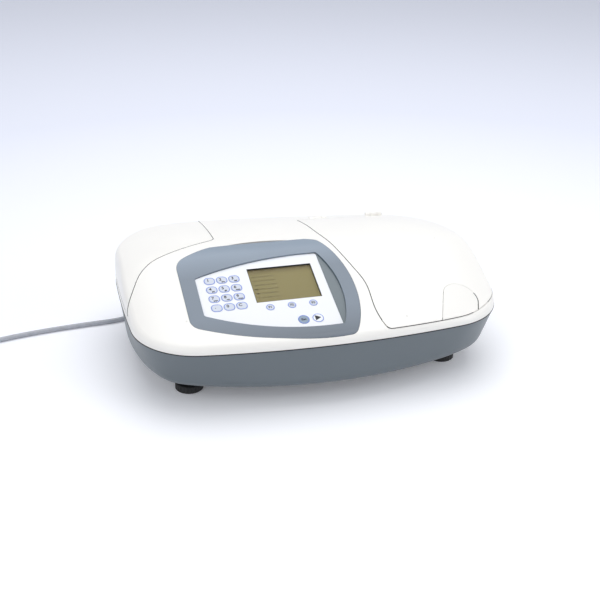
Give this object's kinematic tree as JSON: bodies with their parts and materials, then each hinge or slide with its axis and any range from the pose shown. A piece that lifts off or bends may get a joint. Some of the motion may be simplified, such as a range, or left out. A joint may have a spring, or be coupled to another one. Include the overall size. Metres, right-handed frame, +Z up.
{
  "type": "bench spectrophotometer",
  "caption": "Domed bench spectrophotometer with sloped keypad, display, hinged sample lid, levelling feet and mains lead.",
  "frame": {"origin": "on the bench under the middle of the case, without the mains lead", "axes": "+X along the length to the sample lid's end, +Y from the keypad to the rear panel, +Z up"},
  "size_m": [0.8265, 0.4737, 0.1546],
  "materials": {
    "warm_white": "fine moulded grain",
    "base_grey": "fine moulded grain",
    "bezel_blue": "satin",
    "overlay_white": "satin film",
    "key_film": "satin film",
    "black_rubber": "matt",
    "foot_black": "knurled",
    "clear_window": "clear",
    "display_olive": "reflective liquid crystal",
    "circuit_green": "solder resist",
    "pin_steel": "turned",
    "tub_black": "matt black",
    "optic_glass": "polished",
    "black_aluminium": "black anodised",
    "bare_aluminium": "machined",
    "optic_mirror": "polished",
    "lamp_glass": "clear quartz",
    "zinc_plate": "zinc plated sheet",
    "panel_grey": "painted sheet",
    "black_plastic": "matt",
    "socket_steel": "tin plated",
    "cord_grey": "smooth jacket"
  },
  "bodies": {
    "chassis": {"base_tray": "base_grey", "casing_gasket": "black_rubber", "top_casing": "warm_white", "hinge_pins": "pin_steel", "bezel": "bezel_blue", "keypad_overlay": "overlay_white", "display_window": "clear_window", "display_module": "display_olive", "keypad_board": "circuit_green", "sample_tub": "tub_black", "beam_windows": "optic_glass", "detector": "bare_aluminium", "monochromator_case": "bare_aluminium", "monochromator_cover": "bare_aluminium", "mirrors": "optic_mirror", "lamp_housing": "zinc_plate", "deuterium_lamp": "lamp_glass", "tungsten_lamp": "lamp_glass", "power_supply": "zinc_plate", "main_board": "circuit_green", "rear_panel": "panel_grey", "mains_inlet": "black_plastic", "data_socket": "socket_steel", "fan_frame": "black_plastic", "casing_screws": "pin_steel", "cord_connector": "cord_grey", "cord_run": "cord_grey", "cord_coil": "cord_grey", "mains_plug": "cord_grey"},
    "lid": {"sample_lid": "warm_white"},
    "port_cover": {"port_cover": "warm_white"},
    "lamp_cover": {"lamp_cover": "warm_white"},
    "carriage": {"cell_carriage": "bare_aluminium", "cell_holder": "black_aluminium"},
    "grating": {"grating": "optic_mirror"},
    "filter_wheel": {"filter_wheel": "bare_aluminium"},
    "fan_rotor": {"fan_rotor": "black_plastic"},
    "power_switch": {"power_switch": "black_plastic"},
    "fuse_drawer": {"fuse_drawer": "black_plastic"},
    "key_0": {"key_0": "key_film"},
    "key_1": {"key_1": "key_film"},
    "key_2": {"key_2": "key_film"},
    "key_3": {"key_3": "key_film"},
    "key_4": {"key_4": "key_film"},
    "key_5": {"key_5": "key_film"},
    "key_6": {"key_6": "key_film"},
    "key_7": {"key_7": "key_film"},
    "key_8": {"key_8": "key_film"},
    "key_9": {"key_9": "key_film"},
    "key_point": {"key_point": "key_film"},
    "key_sign": {"key_sign": "key_film"},
    "key_soft_1": {"key_soft_1": "key_film"},
    "key_soft_2": {"key_soft_2": "key_film"},
    "key_soft_3": {"key_soft_3": "key_film"},
    "key_stop": {"key_stop": "key_film"},
    "key_start": {"key_start": "key_film"},
    "foot_left_front": {"foot_left_front": "foot_black"},
    "foot_left_rear": {"foot_left_rear": "foot_black"},
    "foot_right_front": {"foot_right_front": "foot_black"},
    "foot_right_rear": {"foot_right_rear": "foot_black"}
  },
  "joints": [
    {"name": "lid_hinge", "type": "hinge", "parent": "chassis", "child": "lid", "pos_m": [0.105, 0.13, 0.13662], "axis": [-1, 0, 0], "range_deg": [0, 75]},
    {"name": "port_cover_slide", "type": "slide", "parent": "lid", "child": "port_cover", "axis": [-0.3907, -0.9205, 0], "range_m": [0, 0.04]},
    {"name": "lamp_cover_lift", "type": "slide", "parent": "chassis", "child": "lamp_cover", "axis": [0, 0, 1], "range_m": [0, 0.06]},
    {"name": "carriage_slide", "type": "slide", "parent": "chassis", "child": "carriage", "axis": [0, 1, 0], "range_m": [-0.034, 0.034]},
    {"name": "grating_turn", "type": "hinge", "parent": "chassis", "child": "grating", "pos_m": [-0.05, 0.096, 0.06], "axis": [0, 0, 1], "range_deg": [-30, 30]},
    {"name": "filter_wheel_turn", "type": "hinge", "parent": "chassis", "child": "filter_wheel", "pos_m": [-0.0915, 0.073, 0.068], "axis": [1, 0, 0], "continuous": true},
    {"name": "fan_spin", "type": "hinge", "parent": "chassis", "child": "fan_rotor", "pos_m": [0.015, 0.154, 0.058], "axis": [0, 1, 0], "continuous": true},
    {"name": "power_switch_rock", "type": "hinge", "parent": "chassis", "child": "power_switch", "pos_m": [-0.07, 0.155, 0.058], "axis": [1, 0, 0], "range_deg": [-8, 8]},
    {"name": "fuse_drawer_slide", "type": "slide", "parent": "chassis", "child": "fuse_drawer", "axis": [0, 1, 0], "range_m": [0, 0.025]},
    {"name": "key_0_press", "type": "slide", "parent": "chassis", "child": "key_0", "axis": [0, 0.3378, -0.9412], "range_m": [0, 0.0005], "stiffness_N_per_m": 600},
    {"name": "key_1_press", "type": "slide", "parent": "chassis", "child": "key_1", "axis": [0, 0.3378, -0.9412], "range_m": [0, 0.0005], "stiffness_N_per_m": 600},
    {"name": "key_2_press", "type": "slide", "parent": "chassis", "child": "key_2", "axis": [0, 0.3378, -0.9412], "range_m": [0, 0.0005], "stiffness_N_per_m": 600},
    {"name": "key_3_press", "type": "slide", "parent": "chassis", "child": "key_3", "axis": [0, 0.3378, -0.9412], "range_m": [0, 0.0005], "stiffness_N_per_m": 600},
    {"name": "key_4_press", "type": "slide", "parent": "chassis", "child": "key_4", "axis": [0, 0.3378, -0.9412], "range_m": [0, 0.0005], "stiffness_N_per_m": 600},
    {"name": "key_5_press", "type": "slide", "parent": "chassis", "child": "key_5", "axis": [0, 0.3378, -0.9412], "range_m": [0, 0.0005], "stiffness_N_per_m": 600},
    {"name": "key_6_press", "type": "slide", "parent": "chassis", "child": "key_6", "axis": [0, 0.3378, -0.9412], "range_m": [0, 0.0005], "stiffness_N_per_m": 600},
    {"name": "key_7_press", "type": "slide", "parent": "chassis", "child": "key_7", "axis": [0, 0.3378, -0.9412], "range_m": [0, 0.0005], "stiffness_N_per_m": 600},
    {"name": "key_8_press", "type": "slide", "parent": "chassis", "child": "key_8", "axis": [0, 0.3378, -0.9412], "range_m": [0, 0.0005], "stiffness_N_per_m": 600},
    {"name": "key_9_press", "type": "slide", "parent": "chassis", "child": "key_9", "axis": [0, 0.3378, -0.9412], "range_m": [0, 0.0005], "stiffness_N_per_m": 600},
    {"name": "key_point_press", "type": "slide", "parent": "chassis", "child": "key_point", "axis": [0, 0.3378, -0.9412], "range_m": [0, 0.0005], "stiffness_N_per_m": 600},
    {"name": "key_sign_press", "type": "slide", "parent": "chassis", "child": "key_sign", "axis": [0, 0.3378, -0.9412], "range_m": [0, 0.0005], "stiffness_N_per_m": 600},
    {"name": "key_soft_1_press", "type": "slide", "parent": "chassis", "child": "key_soft_1", "axis": [0, 0.3378, -0.9412], "range_m": [0, 0.0005], "stiffness_N_per_m": 600},
    {"name": "key_soft_2_press", "type": "slide", "parent": "chassis", "child": "key_soft_2", "axis": [0, 0.3378, -0.9412], "range_m": [0, 0.0005], "stiffness_N_per_m": 600},
    {"name": "key_soft_3_press", "type": "slide", "parent": "chassis", "child": "key_soft_3", "axis": [0, 0.3378, -0.9412], "range_m": [0, 0.0005], "stiffness_N_per_m": 600},
    {"name": "key_stop_press", "type": "slide", "parent": "chassis", "child": "key_stop", "axis": [0, 0.3378, -0.9412], "range_m": [0, 0.0005], "stiffness_N_per_m": 600},
    {"name": "key_start_press", "type": "slide", "parent": "chassis", "child": "key_start", "axis": [0, 0.3378, -0.9412], "range_m": [0, 0.0005], "stiffness_N_per_m": 600},
    {"name": "foot_left_front_screw", "type": "slide", "parent": "chassis", "child": "foot_left_front", "axis": [0, 0, -1], "range_m": [0, 0.008]},
    {"name": "foot_left_rear_screw", "type": "slide", "parent": "chassis", "child": "foot_left_rear", "axis": [0, 0, -1], "range_m": [0, 0.008]},
    {"name": "foot_right_front_screw", "type": "slide", "parent": "chassis", "child": "foot_right_front", "axis": [0, 0, -1], "range_m": [0, 0.008]},
    {"name": "foot_right_rear_screw", "type": "slide", "parent": "chassis", "child": "foot_right_rear", "axis": [0, 0, -1], "range_m": [0, 0.008]}
  ]
}
